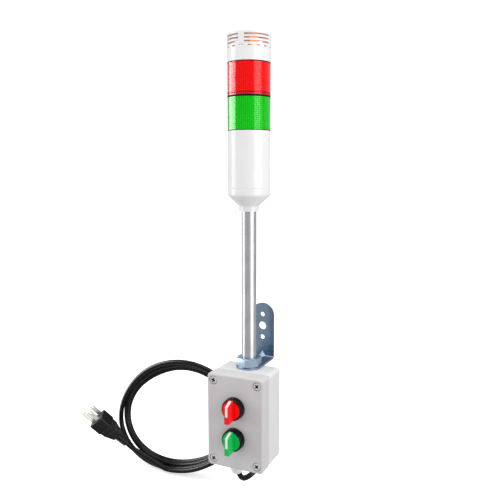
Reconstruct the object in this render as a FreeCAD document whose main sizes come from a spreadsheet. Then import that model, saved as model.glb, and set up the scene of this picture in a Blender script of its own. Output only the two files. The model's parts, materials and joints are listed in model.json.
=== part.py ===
import FreeCAD, Part

import math
import os
from types import SimpleNamespace

import Sketcher
from FreeCAD import Placement, Rotation, Vector

# Stack light on an upright pole, clamped with its wall bracket to a two-switch control box.
# Millimetres. +Z runs up along the pole, the switches face -Y and the wall stands at Y = 0.
# The origin is the middle hole of the bracket, on the face that lies against the wall.

SIZES = {
    # places
    "pole_setback": 43.0,        # pole axis to the wall
    "mount_rise": 41.8,          # middle wall hole above the top of the box
    "tower_rise": 189.7,         # foot of the tower above the top of the box
    # tower
    "tower_radius": 25.0,
    "tower_wall": 2.2,
    "collar_radius": 11.7,
    "collar_height": 6.6,
    "cone_foot_radius": 12.3,
    "cone_height": 11.8,
    "cone_round": 5.0,
    "ring_height": 8.6,
    "housing_height": 66.4,
    "lens_height": 37.2,
    "lens_wall": 2.4,
    "rib_count": 15,
    "rib_depth": 0.5,
    "rib_margin": 2.2,
    "divider_rim": 1.2,
    "divider_inset": 0.3,
    "teeth_count": 24,
    "tooth_width": 2.6,
    "tooth_height": 2.2,
    "seam_groove": 0.4,
    "spigot_height": 4.0,
    "spigot_wall": 1.6,
    "spigot_gap": 0.2,
    "wire_hole_radius": 5.0,
    # buzzer cap
    "cap_radius": 25.3,
    "cap_height": 34.2,
    "cap_round": 3.5,
    "slot_height": 1.7,
    "slot_pitch": 4.05,
    "slot_level": 20.1,
    "slot_span": 75.0,           # degrees
    "short_slot_height": 1.4,
    "short_slot_level": 16.0,
    "short_slot_span": 10.0,     # degrees
    "board_thickness": 1.6,
    "sounder_radius": 4.8,
    "sounder_height": 25.0,
    "sounder_offset": 6.6,
    # lamp boards
    "lamp_post_side": 13.0,
    "lamp_post_height": 27.0,
    "lamp_radius": 2.4,
    "lamp_height": 1.8,
    "lamp_pitch": 8.0,
    # pole and its nuts
    "pole_radius": 8.9,
    "pole_wall": 1.4,
    "pole_fit": 0.05,
    "pole_tail": 13.0,           # below the top of the box
    "pole_head": 15.0,           # inside the tower's collar
    "nut_across": 27.0,
    "nut_height": 10.6,
    "locknut_height": 5.0,
    "washer_radius": 15.0,
    "washer_thickness": 1.6,
    # wall bracket
    "sheet": 2.4,
    "bracket_half_width": 15.5,
    "bracket_height": 71.2,
    "bend_radius": 2.0,          # inside the bend
    "wall_hole_radius": 3.0,
    "wall_hole_pitch": 14.7,
    "middle_hole_radius": 5.0,
    "dart_width": 12.7,
    "dart_reach": 8.5,
    # control box
    "box_width": 71.2,
    "box_height": 113.2,
    "box_depth": 59.0,
    "box_wall": 2.5,
    "pole_to_back": 18.3,        # pole axis to the back of the box
    "lid_depth": 18.2,
    "lid_overhang": 0.5,         # lid edge past the body, all round
    "corner_round": 5.0,
    "lid_round": 2.2,
    "back_round": 8.0,
    "gasket_width": 1.1,
    "gasket_depth": 1.0,
    "column_radius": 6.1,
    "column_length": 9.4,
    "screw_inset_x": 7.5,        # screws from the sides of the box
    "screw_inset_z": 8.1,
    "screw_radius": 1.95,
    "screw_length": 8.4,
    "screw_hole_radius": 2.2,
    "head_radius": 4.6,
    "head_height": 2.4,
    "recess_radius": 5.3,
    "recess_depth": 1.6,
    "cross_width": 1.4,
    "cross_length": 6.0,
    "cross_depth": 1.8,
    # selector switches
    "selector_drop": 37.8,       # upper switch below the top of the box
    "selector_pitch": 37.6,
    "panel_hole_radius": 11.2,
    "flange_radius": 13.3,
    "flange_height": 2.2,
    "bezel_radius": 13.0,
    "bezel_height": 9.4,
    "bezel_lip": 1.6,
    "ring_groove": 0.6,
    "ring_groove_level": 4.6,
    "barrel_radius": 10.9,
    "barrel_length": 20.0,
    "seal_thickness": 0.6,
    "disc_radius": 11.0,
    "disc_seat": 4.5,
    "disc_front": 10.2,
    "disc_gap": 0.3,
    "stem_radius": 5.5,
    "stem_fit": 0.08,
    "stem_length": 22.0,
    "handle_width": 6.0,
    "handle_half_length": 12.5,
    "handle_front": 21.6,
    "handle_kink": 8.4,
    "handle_round": 0.8,
    "pointer_width": 2.9,
    "pointer_tail": 3.5,
    "pointer_inset": 0.8,
    "pointer_reach": 0.9,        # share of the sloped end that the line covers
    "clamp_radius": 14.5,
    "clamp_height": 4.5,
    "clamp_notches": 8,
    "clamp_notch": 3.0,
    "block_width": 28.0,
    "block_height": 30.0,
    "block_depth": 24.0,
    "terminal_width": 6.0,
    # cable gland
    "gland_inset": 19.6,         # from the left side of the box
    "gland_setback": 2.0,        # in front of the pole axis
    "gland_across": 19.0,
    "gland_flange": 5.0,
    "gland_thread_radius": 7.6,
    "gland_thread_inside": 9.0,
    "gland_neck": 9.0,
    "gland_bore_radius": 4.4,
    "gland_nut_height": 20.3,
    "gland_nut_radius": 8.9,
    "gland_dome": 9.0,
    "gland_grip_count": 16,
    "gland_nose_radius": 5.2,
    "gland_locknut_height": 4.0,
    "thread_fit": 0.05,
    "face_gap": 0.3,
    # mains lead
    "cord_radius": 3.4,
    "coil_left": 119.5,          # middle of the coil, left of the pole
    "coil_drop": 137.0,          # middle of the coil, below the middle wall hole
    "coil_long": 90.8,
    "coil_short": 68.5,
    "coil_tilt": 24.0,           # degrees
    "coil_nose": 8.0,
    "coil_band": 18.0,
    "coil_front": 20.5,
    "coil_back": 2.0,
    "coil_bevel": 4.0,
    # plug
    "relief_length": 18.0,
    "relief_foot_radius": 6.0,
    "relief_top_radius": 6.7,
    "relief_ribs": 4,
    "relief_rib_width": 2.2,
    "relief_groove_depth": 1.3,
    "plug_length": 39.0,
    "plug_width": 24.0,
    "plug_depth": 27.0,
    "plug_neck_width": 14.0,
    "plug_neck_depth": 15.0,
    "plug_block": 19.0,          # full section, from the face
    "plug_shoulder": 15.0,       # taper starts, on the side away from the ground pin
    "plug_step": 1.2,
    "plug_margin": 4.0,
    "plug_round": 2.0,
    "grip_depth": 0.8,
    "blade_length": 17.5,
    "blade_width": 6.35,
    "blade_thickness": 1.5,
    "blade_pitch": 12.7,
    "ground_radius": 2.4,
    "ground_length": 21.5,
    "ground_offset": 11.9,
    "pin_shift": 4.0,            # blades' line to the middle of the plug's face
    "pin_root": 6.0,             # how far the pins reach into the plug
    "blade_hole_radius": 1.6,
    "plug_left": 226.3,          # middle of the plug's face
    "plug_front": 52.0,
    "plug_down": 143.8,
    "plug_yaw": 114.65,             # degrees
    "plug_pitch": -15.43,
    "plug_roll": -41.33,
}


class Size:
    """A driving size or a sum of them: its value, and the sheet expression that gives it."""

    def __init__(self, value, text):
        self.value = value
        self.text = text

    def __float__(self):
        return float(self.value)

    def __add__(self, other):
        other = size(other)
        return Size(self.value + other.value, "(%s + %s)" % (self.text, other.text))

    def __sub__(self, other):
        other = size(other)
        return Size(self.value - other.value, "(%s - %s)" % (self.text, other.text))

    def __mul__(self, other):
        other = size(other)
        return Size(self.value * other.value, "(%s * %s)" % (self.text, other.text))

    def __truediv__(self, other):
        other = size(other)
        return Size(self.value / other.value, "(%s / %s)" % (self.text, other.text))

    def __neg__(self):
        return Size(-self.value, "(0 - %s)" % self.text)

    def __radd__(self, other):
        return size(other) + self

    def __rsub__(self, other):
        return size(other) - self

    def __rmul__(self, other):
        return size(other) * self


def size(value):
    if isinstance(value, Size):
        return value
    return Size(value, "%.9g" % value if value >= 0 else "(0 - %.9g)" % -value)


doc = FreeCAD.newDocument("stack_light")
sheet = doc.addObject("Spreadsheet::Sheet", "Sizes")
for row, (name, value) in enumerate(SIZES.items(), start=1):
    sheet.set("A%d" % row, name)
    sheet.set("B%d" % row, "%g" % value)
    sheet.setAlias("B%d" % row, name)
doc.recompute()
s = SimpleNamespace(**{name: Size(value, "Sizes." + name) for name, value in SIZES.items()})

OVER = 1.0                      # how far a cutting tool stands past the face that it cuts
parts = []


# ---- small tools -------------------------------------------------------------------------

def keep(obj, label):
    obj.Label = label
    parts.append(obj)
    return obj


def new_body(label):
    return keep(doc.addObject("PartDesign::Body", label), label)


def place(obj, x=0, y=0, z=0, rotation=None):
    """Puts a sub-part at sheet-driven coordinates, turned by a fixed rotation."""
    obj.Placement = Placement(Vector(float(x), float(y), float(z)), rotation or Rotation())
    for axis, value in (("x", x), ("y", y), ("z", z)):
        obj.setExpression("Placement.Base." + axis, size(value).text)


def new_sketch(body, role, level=None):
    sketch = body.newObject("Sketcher::SketchObject", "Sketch")
    plane = [item for item in body.Origin.OriginFeatures if item.Role == role][0]
    sketch.AttachmentSupport = [(plane, "")]
    sketch.MapMode = "FlatFace"
    if level is not None:
        sketch.AttachmentOffset = Placement(Vector(0, 0, float(level)), Rotation())
        sketch.setExpression("AttachmentOffset.Base.z", size(level).text)
    return sketch


def drive(sketch, kind, target, value, axis_constraint):
    """Ties one coordinate of a point to the sheet; a plain zero lies on the axis itself."""
    if not isinstance(value, Size) and value == 0:
        sketch.addConstraint(Sketcher.Constraint("PointOnObject", target[0], target[1], axis_constraint))
        return
    value = size(value)
    index = sketch.addConstraint(Sketcher.Constraint(kind, -1, 1, target[0], target[1], value.value))
    sketch.setExpression("Constraints[%d]" % index, value.text)


def pin_point(sketch, target, x, y):
    drive(sketch, "DistanceX", target, x, -2)
    drive(sketch, "DistanceY", target, y, -1)


def polygon(sketch, points):
    """A closed outline whose corners are all driven by the sheet."""
    first = sketch.GeometryCount
    corners = [Vector(float(x), float(y), 0) for x, y in points]
    count = len(points)
    for index in range(count):
        sketch.addGeometry(Part.LineSegment(corners[index], corners[(index + 1) % count]))
    for index in range(count):
        here = first + index
        after = first + (index + 1) % count
        sketch.addConstraint(Sketcher.Constraint("Coincident", here, 2, after, 1))
    for index, (x, y) in enumerate(points):
        pin_point(sketch, (first + index, 1), x, y)


def rectangle(sketch, left, bottom, right, top):
    polygon(sketch, [(left, bottom), (right, bottom), (right, top), (left, top)])


def circle(sketch, x, y, radius):
    radius = size(radius)
    index = sketch.addGeometry(Part.Circle(Vector(float(x), float(y), 0), Vector(0, 0, 1), radius.value))
    pin_point(sketch, (index, 3), x, y)
    bound = sketch.addConstraint(Sketcher.Constraint("Radius", index, radius.value))
    sketch.setExpression("Constraints[%d]" % bound, radius.text)


def hexagon(sketch, across, turn=0.0):
    corner = size(across) / math.sqrt(3)
    points = []
    for index in range(6):
        angle = math.radians(60 * index + turn)
        points.append((corner * round(math.cos(angle), 9), corner * round(math.sin(angle), 9)))
    points = [(x if abs(float(x)) > 1e-6 else 0, y if abs(float(y)) > 1e-6 else 0) for x, y in points]
    polygon(sketch, points)


def tongue(sketch, half_width, start, centre):
    """A strip with a full-round end, as on a strap: it runs from start up to the round's centre."""
    w, low, mid = float(half_width), float(start), float(centre)
    first = sketch.GeometryCount
    rising = mid > low
    sketch.addGeometry(Part.LineSegment(Vector(-w, low, 0), Vector(-w, mid, 0)))
    round_end = Part.Circle(Vector(0, mid, 0), Vector(0, 0, 1), w)
    angles = (0, math.pi) if rising else (math.pi, 2 * math.pi)
    sketch.addGeometry(Part.ArcOfCircle(round_end, *angles))
    sketch.addGeometry(Part.LineSegment(Vector(w, mid, 0), Vector(w, low, 0)))
    sketch.addGeometry(Part.LineSegment(Vector(w, low, 0), Vector(-w, low, 0)))
    left, arc, right, base = first, first + 1, first + 2, first + 3
    arc_left, arc_right = (2, 1) if rising else (1, 2)
    for link in ((left, 2, arc, arc_left), (arc, arc_right, right, 1), (right, 2, base, 1), (base, 2, left, 1)):
        sketch.addConstraint(Sketcher.Constraint("Coincident", *link))
    sketch.addConstraint(Sketcher.Constraint("Vertical", left))
    sketch.addConstraint(Sketcher.Constraint("Vertical", right))
    sketch.addConstraint(Sketcher.Constraint("Horizontal", base))
    pin_point(sketch, (left, 1), -half_width, start)
    pin_point(sketch, (arc, 3), 0, centre)
    sketch.addConstraint(Sketcher.Constraint("Horizontal", arc, 3, left, 2))
    sketch.addConstraint(Sketcher.Constraint("Horizontal", arc, 3, right, 1))


def feature(body, kind, sketch, **settings):
    """Adds a PartDesign feature from a sketch; sizes among the settings stay tied to the sheet."""
    doc.recompute()
    made = body.newObject("PartDesign::" + kind, kind)
    made.Profile = sketch
    if kind in ("Revolution", "Groove"):
        made.ReferenceAxis = (sketch, ["V_Axis"])
    for name, value in settings.items():
        if isinstance(value, Size):
            setattr(made, name, value.value)
            made.setExpression(name, value.text)
        else:
            setattr(made, name, value)
    sketch.Visibility = False
    doc.recompute()
    return made


def revolve(body, points):
    sketch = new_sketch(body, "XZ_Plane")
    polygon(sketch, points)
    return feature(body, "Revolution", sketch, Angle=360)


def groove(body, outlines, angle=360.0):
    sketch = new_sketch(body, "XZ_Plane")
    for points in outlines:
        polygon(sketch, points)
    return feature(body, "Groove", sketch, Angle=angle, Midplane=True)


def cut_through(body, sketch):
    return feature(body, "Pocket", sketch, Type=1, Midplane=True)


def polar(body, source, count):
    pattern = body.newObject("PartDesign::PolarPattern", "PolarPattern")
    pattern.Originals = [source]
    axis = [item for item in body.Origin.OriginFeatures if item.Role == "Z_Axis"][0]
    pattern.Axis = (axis, [""])
    pattern.Angle = 360
    pattern.Occurrences = int(float(count))
    if isinstance(count, Size):
        pattern.setExpression("Occurrences", count.text)
    body.Tip = pattern
    doc.recompute()
    return pattern


def edges_where(body, test):
    doc.recompute()
    tip = body.Tip
    shape = tip.Shape
    return tip, ["Edge%d" % (index + 1) for index, edge in enumerate(shape.Edges) if test(edge)]


def dress(body, kind, test, amount):
    """Rounds or bevels every edge that passes the test."""
    tip, names = edges_where(body, test)
    made = body.newObject("PartDesign::" + kind, kind)
    made.Base = (tip, names)
    field = "Radius" if kind == "Fillet" else "Size"
    amount = size(amount)
    setattr(made, field, amount.value)
    made.setExpression(field, amount.text)
    doc.recompute()
    return made


def near(value, target):
    return abs(value - float(target)) < 1e-3


def ring_at(radius, level):
    """True for the round edge of this radius at this height."""
    def test(edge):
        box = edge.BoundBox
        return (isinstance(edge.Curve, Part.Circle) and near(edge.Curve.Radius, radius)
                and near(box.ZMin, level) and near(box.ZMax, level))
    return test


def along(direction):
    """True for straight edges that run along one axis."""
    def test(edge):
        if not isinstance(edge.Curve, Part.Line):
            return False
        run = edge.valueAt(edge.LastParameter) - edge.valueAt(edge.FirstParameter)
        return abs(run.normalize().dot(direction)) > 0.999
    return test


# ---- tower ---------------------------------------------------------------------------------

box_top = -s.mount_rise
tower_foot = box_top + s.tower_rise
base_height = s.collar_height + s.cone_height + s.ring_height
housing_foot = tower_foot + base_height
green_foot = housing_foot + s.housing_height
divider_foot = green_foot + s.lens_height
red_foot = divider_foot + s.divider_rim
cap_foot = red_foot + s.lens_height
pole_y = -s.pole_setback

bore = s.tower_radius - s.lens_wall                # inside of lenses, housing and cap seats
spigot_out = bore - s.spigot_gap
spigot_in = spigot_out - s.spigot_wall
cap_turn = Rotation(Vector(0, 0, 1), 49)           # a rib of the cap stands near the front


def base_cone():
    """Foot of the tower: collar, cone and ring in one moulding, bored for the pole."""
    body = new_body("base_cone")
    floor = s.collar_height + s.cone_height
    hole = s.pole_radius + s.pole_fit
    step = floor - s.tower_wall
    revolve(body, [
        (hole, 0), (s.collar_radius, 0), (s.collar_radius, s.collar_height),
        (s.cone_foot_radius, s.collar_height), (s.tower_radius, floor),
        (s.tower_radius, base_height), (spigot_out, base_height),
        (spigot_out, base_height + s.spigot_height), (spigot_in, base_height + s.spigot_height),
        (spigot_in, floor), (s.collar_radius, step), (hole, step)])
    dress(body, "Fillet", ring_at(s.tower_radius, floor), s.cone_round)
    dress(body, "Chamfer", ring_at(s.tower_radius, base_height), s.seam_groove)
    place(body, 0, pole_y, tower_foot)


def driver_board():
    """Round circuit board on the rim of the base, with its two terminals on top."""
    body = new_body("driver_board")
    revolve(body, [(s.wire_hole_radius, 0), (bore - s.spigot_gap, 0),
                   (bore - s.spigot_gap, s.board_thickness), (s.wire_hole_radius, s.board_thickness)])
    sketch = new_sketch(body, "XY_Plane", s.board_thickness)
    for side in (-1, 1):
        inner = side * (s.wire_hole_radius + s.board_thickness)
        outer = inner + side * s.terminal_width
        left, right = (inner, outer) if side > 0 else (outer, inner)
        rectangle(sketch, left, -s.terminal_width, right, s.terminal_width)
    feature(body, "Pad", sketch, Length=s.terminal_width)
    place(body, 0, pole_y, housing_foot + s.spigot_height)


def housing():
    """Plain white tube of the tower, with the seat of the green lens on its lid."""
    body = new_body("housing")
    top = s.housing_height
    revolve(body, [
        (s.wire_hole_radius, top - s.tower_wall), (bore, top - s.tower_wall), (bore, 0),
        (s.tower_radius, 0), (s.tower_radius, top), (spigot_out, top),
        (spigot_out, top + s.spigot_height), (spigot_in, top + s.spigot_height),
        (spigot_in, top), (s.wire_hole_radius, top)])
    dress(body, "Chamfer", ring_at(s.tower_radius, 0), s.seam_groove)
    place(body, 0, pole_y, housing_foot)


def lens(label, foot):
    """Clear ribbed ring: V grooves in rows round the outside."""
    body = new_body(label)
    revolve(body, [(bore, 0), (s.tower_radius, 0), (s.tower_radius, s.lens_height), (bore, s.lens_height)])
    pitch = (s.lens_height - 2 * s.rib_margin) / s.rib_count
    low = s.rib_margin
    rib = groove(body, [[
        (s.tower_radius + s.rib_depth, low), (s.tower_radius + s.rib_depth, low + pitch),
        (s.tower_radius, low + pitch), (s.tower_radius - s.rib_depth, low + pitch / 2),
        (s.tower_radius, low)]])
    rows = body.newObject("PartDesign::LinearPattern", "LinearPattern")
    rows.Originals = [rib]
    axis = [item for item in body.Origin.OriginFeatures if item.Role == "Z_Axis"][0]
    rows.Direction = (axis, [""])
    rows.Length = float(s.lens_height - 2 * s.rib_margin - pitch)
    rows.setExpression("Length", (s.lens_height - 2 * s.rib_margin - pitch).text)
    rows.Occurrences = int(float(s.rib_count))
    rows.setExpression("Occurrences", s.rib_count.text)
    body.Tip = rows
    place(body, 0, pole_y, foot)


def lamp_board(label, foot):
    """Square post of four small boards, three lamps on each face."""
    body = new_body(label)
    half = s.lamp_post_side / 2
    sketch = new_sketch(body, "XY_Plane")
    rectangle(sketch, -half, -half, half, half)
    feature(body, "Pad", sketch, Length=s.lamp_post_height)
    middle = s.lamp_post_height / 2
    for role in ("XZ_Plane", "YZ_Plane"):
        sketch = new_sketch(body, role)
        for row in (-1, 0, 1):
            circle(sketch, 0, middle + row * s.lamp_pitch, s.lamp_radius)
        feature(body, "Pad", sketch, Length=s.lamp_post_side + 2 * s.lamp_height, Midplane=True)
    place(body, 0, pole_y, foot)


def divider():
    """Dark plate between the lenses; its upper seat is cut into a row of teeth."""
    body = new_body("divider")
    rim = s.tower_radius - s.divider_inset
    revolve(body, [
        (s.wire_hole_radius, 0), (spigot_in, 0), (spigot_in, -s.spigot_height),
        (spigot_out, -s.spigot_height), (spigot_out, 0), (rim, 0), (rim, s.divider_rim),
        (spigot_out, s.divider_rim), (spigot_out, s.divider_rim + s.spigot_height),
        (spigot_in, s.divider_rim + s.spigot_height), (spigot_in, s.divider_rim),
        (s.wire_hole_radius, s.divider_rim)])
    sketch = new_sketch(body, "XY_Plane", s.divider_rim + s.spigot_height - s.tooth_height)
    rectangle(sketch, spigot_in - OVER, -s.tooth_width / 2, spigot_out + OVER, s.tooth_width / 2)
    notch = feature(body, "Pocket", sketch, Type=1, Reversed=True)
    polar(body, notch, s.teeth_count)
    place(body, 0, pole_y, divider_foot)


def buzzer_cap():
    """Cap with three long sound slots and a row of short ones between its four ribs."""
    body = new_body("buzzer_cap")
    wall = s.tower_wall
    inner = s.cap_radius - wall
    revolve(body, [
        (0, s.cap_height - wall), (0, s.cap_height), (s.cap_radius, s.cap_height), (s.cap_radius, 0),
        (spigot_out, 0), (spigot_out, -s.spigot_height), (spigot_in, -s.spigot_height),
        (spigot_in, wall), (inner, wall), (inner, s.cap_height - wall)])
    dress(body, "Fillet", ring_at(s.cap_radius, s.cap_height), s.cap_round)
    dress(body, "Chamfer", ring_at(s.cap_radius, 0), s.seam_groove)

    def slot(level, height):
        low = level - height / 2
        high = level + height / 2
        return [(inner - OVER, low), (s.cap_radius + OVER, low), (s.cap_radius + OVER, high), (inner - OVER, high)]

    rows = [slot(s.slot_level + row * s.slot_pitch, s.slot_height) for row in range(3)]
    polar(body, groove(body, rows, s.slot_span), 4)
    short = groove(body, [slot(s.short_slot_level, s.short_slot_height)], s.short_slot_span)
    polar(body, short, 16)
    place(body, 0, pole_y, cap_foot, cap_turn)


def sounder_board():
    body = new_body("sounder_board")
    rim = s.cap_radius - s.tower_wall - s.spigot_gap
    revolve(body, [(s.wire_hole_radius / 2, 0), (rim, 0), (rim, s.board_thickness),
                   (s.wire_hole_radius / 2, s.board_thickness)])
    place(body, 0, pole_y, cap_foot + s.tower_wall)


def sounder():
    """Orange sound capsule that stands on its board, right of the middle."""
    body = new_body("sounder")
    mouth = s.sounder_radius / 3
    revolve(body, [(0, 0), (s.sounder_radius, 0), (s.sounder_radius, s.sounder_height),
                   (mouth, s.sounder_height), (mouth, s.sounder_height - mouth), (0, s.sounder_height - mouth)])
    place(body, s.sounder_offset, pole_y, cap_foot + s.tower_wall + s.board_thickness)


# ---- pole, nuts and bracket ------------------------------------------------------------------

def pole():
    body = new_body("pole")
    length = s.pole_tail + s.tower_rise + s.pole_head
    revolve(body, [(s.pole_radius - s.pole_wall, 0), (s.pole_radius, 0), (s.pole_radius, length),
                   (s.pole_radius - s.pole_wall, length)])
    dress(body, "Chamfer", ring_at(s.pole_radius, 0), s.pole_wall / 2)
    place(body, 0, pole_y, box_top - s.pole_tail)


def hex_nut(label, across, height, hole, turn=0.0, bevel=True):
    """Hexagon nut, its corners turned off to a shallow cone on both faces."""
    body = new_body(label)
    sketch = new_sketch(body, "XY_Plane")
    hexagon(sketch, across, turn)
    circle(sketch, 0, 0, hole)
    feature(body, "Pad", sketch, Length=size(height))
    if bevel:
        flat = across / 2
        corner = across * 0.58
        drop = (corner - flat) * 0.55
        groove(body, [
            [(flat, height + OVER), (flat, height), (corner, height - drop), (corner + OVER, height - drop),
             (corner + OVER, height + OVER)],
            [(flat, -OVER), (flat, 0), (corner, drop), (corner + OVER, drop), (corner + OVER, -OVER)]])
    return body


def nuts():
    hole = s.pole_radius + s.pole_fit
    clamp = hex_nut("pole_nut", s.nut_across, s.nut_height, hole, 35.0)
    place(clamp, 0, pole_y, box_top + s.sheet)
    under = box_top - s.box_wall
    washer = new_body("pole_washer")
    revolve(washer, [(hole, 0), (s.washer_radius, 0), (s.washer_radius, s.washer_thickness),
                     (hole, s.washer_thickness)])
    place(washer, 0, pole_y, under - s.washer_thickness)
    lock = hex_nut("pole_locknut", s.nut_across, s.locknut_height, hole, 10.0)
    place(lock, 0, pole_y, under - s.washer_thickness - s.locknut_height)


def bracket():
    """Bent strap: a foot under the pole nut, a wall leg with three holes, a pressed dart in the bend."""
    body = doc.addObject("PartDesign::Body", "bracket_strap")
    sketch = new_sketch(body, "XY_Plane")
    tongue(sketch, s.bracket_half_width, 0, pole_y)
    feature(body, "Pad", sketch, Length=s.sheet)
    sketch = new_sketch(body, "XZ_Plane")
    tongue(sketch, s.bracket_half_width, 0, s.bracket_height - s.bracket_half_width)
    feature(body, "Pad", sketch, Length=s.sheet)

    def crease(y, z):
        return lambda edge: (along(Vector(1, 0, 0))(edge) and near(edge.BoundBox.YMin, y)
                             and near(edge.BoundBox.ZMin, z))

    dress(body, "Fillet", crease(-s.sheet, s.sheet), s.bend_radius)
    dress(body, "Fillet", crease(0, 0), s.bend_radius + s.sheet)
    sketch = new_sketch(body, "XZ_Plane")
    for step, radius in ((-1, s.wall_hole_radius), (0, s.middle_hole_radius), (1, s.wall_hole_radius)):
        circle(sketch, 0, s.mount_rise + step * s.wall_hole_pitch, radius)
    cut_through(body, sketch)
    sketch = new_sketch(body, "XY_Plane")
    circle(sketch, 0, pole_y, s.pole_radius + s.pole_fit)
    cut_through(body, sketch)

    half = float(s.dart_width) / 2
    reach = float(s.dart_reach + s.sheet)
    root = float(s.sheet) / 2
    left = Vector(-half, -root, root)
    right = Vector(half, -root, root)
    high = Vector(0, -root, reach)
    ahead = Vector(0, -reach, root)
    sides = [(left, right, high), (left, ahead, right), (left, high, ahead), (right, ahead, high)]
    faces = [Part.Face(Part.makePolygon([a, b, c, a])) for a, b, c in sides]
    dart = doc.addObject("Part::Feature", "bracket_dart")
    dart.Shape = Part.makeSolid(Part.makeShell(faces))
    joined = doc.addObject("Part::Fuse", "bracket")
    joined.Base = body
    joined.Tool = dart
    keep(joined, "bracket")
    place(joined, 0, 0, box_top)


# ---- control box -----------------------------------------------------------------------------

box_middle = box_top - s.box_height / 2
lid_face = pole_y + s.pole_to_back - s.box_depth
seam = lid_face + s.lid_depth
body_depth = s.box_depth - s.lid_depth
pole_depth = body_depth - s.pole_to_back         # pole axis behind the lid's seam
screw_x = s.box_width / 2 - s.screw_inset_x
screw_z = s.box_height / 2 - s.screw_inset_z
gland_x = s.gland_inset - s.box_width / 2
gland_y = pole_y - s.gland_setback


def corners():
    return [(sx * screw_x, sz * screw_z) for sx in (-1, 1) for sz in (-1, 1)]


def box_body():
    """Moulded tub with rounded back, four screw posts, a gasket groove and holes for pole and gland."""
    body = new_body("box_body")
    half_x = s.box_width / 2
    half_z = s.box_height / 2
    sketch = new_sketch(body, "XZ_Plane")
    rectangle(sketch, -half_x, -half_z, half_x, half_z)
    feature(body, "Pad", sketch, Length=body_depth, Reversed=True)
    dress(body, "Fillet", along(Vector(0, 1, 0)), s.corner_round)
    depth = float(body_depth)
    dress(body, "Fillet", lambda edge: near(edge.BoundBox.YMin, depth), s.back_round)
    sketch = new_sketch(body, "XZ_Plane")
    wall = s.box_wall
    rectangle(sketch, wall - half_x, wall - half_z, half_x - wall, half_z - wall)
    feature(body, "Pocket", sketch, Length=body_depth - wall, Reversed=False)
    sketch = new_sketch(body, "XZ_Plane")
    for x, z in corners():
        circle(sketch, x, z, s.column_radius)
    feature(body, "Pad", sketch, Length=s.column_length, Reversed=True)
    sketch = new_sketch(body, "XZ_Plane")
    for x, z in corners():
        circle(sketch, x, z, s.screw_radius + s.thread_fit)
    feature(body, "Pocket", sketch, Length=s.screw_length)
    sketch = new_sketch(body, "XZ_Plane")
    rim = (wall - s.gasket_width) / 2
    rectangle(sketch, rim - half_x, rim - half_z, half_x - rim, half_z - rim)
    inset = rim + s.gasket_width
    rectangle(sketch, inset - half_x, inset - half_z, half_x - inset, half_z - inset)
    feature(body, "Pocket", sketch, Length=s.gasket_depth)
    sketch = new_sketch(body, "XY_Plane")
    circle(sketch, 0, pole_depth, s.pole_radius + s.pole_fit)
    feature(body, "Pocket", sketch, Type=1, Reversed=True)
    sketch = new_sketch(body, "XY_Plane")
    circle(sketch, gland_x, pole_depth - s.gland_setback, s.gland_thread_radius + s.thread_fit)
    feature(body, "Pocket", sketch, Type=1)
    place(body, 0, seam, box_middle)


def box_lid():
    """Lid with rounded front edges, a recess for each screw head and two switch holes."""
    body = new_body("box_lid")
    half_x = s.box_width / 2 + s.lid_overhang
    half_z = s.box_height / 2 + s.lid_overhang
    sketch = new_sketch(body, "XZ_Plane")
    rectangle(sketch, -half_x, -half_z, half_x, half_z)
    feature(body, "Pad", sketch, Length=s.lid_depth)
    dress(body, "Fillet", along(Vector(0, 1, 0)), s.corner_round)
    front = -float(s.lid_depth)
    dress(body, "Fillet", lambda edge: near(edge.BoundBox.YMax, front), s.lid_round)
    sketch = new_sketch(body, "XZ_Plane")
    wall = s.box_wall + s.lid_overhang
    rectangle(sketch, wall - half_x, wall - half_z, half_x - wall, half_z - wall)
    feature(body, "Pocket", sketch, Length=s.lid_depth - s.box_wall, Reversed=True)
    sketch = new_sketch(body, "XZ_Plane")
    for x, z in corners():
        circle(sketch, x, z, s.column_radius)
    feature(body, "Pad", sketch, Length=s.lid_depth - s.box_wall / 2)
    sketch = new_sketch(body, "XZ_Plane")
    for x, z in corners():
        circle(sketch, x, z, s.screw_hole_radius)
    feature(body, "Pocket", sketch, Type=1, Reversed=True)
    sketch = new_sketch(body, "XZ_Plane", s.lid_depth)
    for x, z in corners():
        circle(sketch, x, z, s.recess_radius)
    feature(body, "Pocket", sketch, Length=s.recess_depth + s.head_height / 2)
    sketch = new_sketch(body, "XZ_Plane")
    upper = s.box_height / 2 - s.selector_drop
    for z in (upper, upper - s.selector_pitch):
        circle(sketch, 0, z, s.panel_hole_radius)
    feature(body, "Pocket", sketch, Type=1, Reversed=True)
    place(body, 0, seam, box_middle)


def lid_gasket():
    body = new_body("lid_gasket")
    half_x = s.box_width / 2
    half_z = s.box_height / 2
    rim = (s.box_wall - s.gasket_width) / 2
    inset = rim + s.gasket_width
    sketch = new_sketch(body, "XZ_Plane")
    rectangle(sketch, rim - half_x, rim - half_z, half_x - rim, half_z - rim)
    rectangle(sketch, inset - half_x, inset - half_z, half_x - inset, half_z - inset)
    feature(body, "Pad", sketch, Length=s.gasket_depth, Reversed=True)
    place(body, 0, seam, box_middle)


def lid_screws():
    """Four cross-head screws, one turned piece and its copies at the other corners."""
    seat = s.lid_depth - s.recess_depth - s.head_height / 2
    body = doc.addObject("PartDesign::Body", "lid_screw")
    foot = s.face_gap - s.screw_length
    revolve(body, [
        (0, foot), (s.screw_radius / 2, foot), (s.screw_radius, foot + s.screw_radius),
        (s.screw_radius, seat), (s.head_radius, seat), (s.head_radius, seat + s.head_height / 2),
        (s.head_radius - s.head_height / 2, seat + s.head_height), (0, seat + s.head_height)])
    for wide, tall in ((s.cross_length, s.cross_width), (s.cross_width, s.cross_length)):
        sketch = new_sketch(body, "XY_Plane", seat + s.head_height)
        rectangle(sketch, -wide / 2, -tall / 2, wide / 2, tall / 2)
        feature(body, "Pocket", sketch, Length=s.cross_depth)
    repeat(body, "lid_screws", [(x, 0, z) for x, z in corners()], FACING, (0, seam, box_middle))


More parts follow.
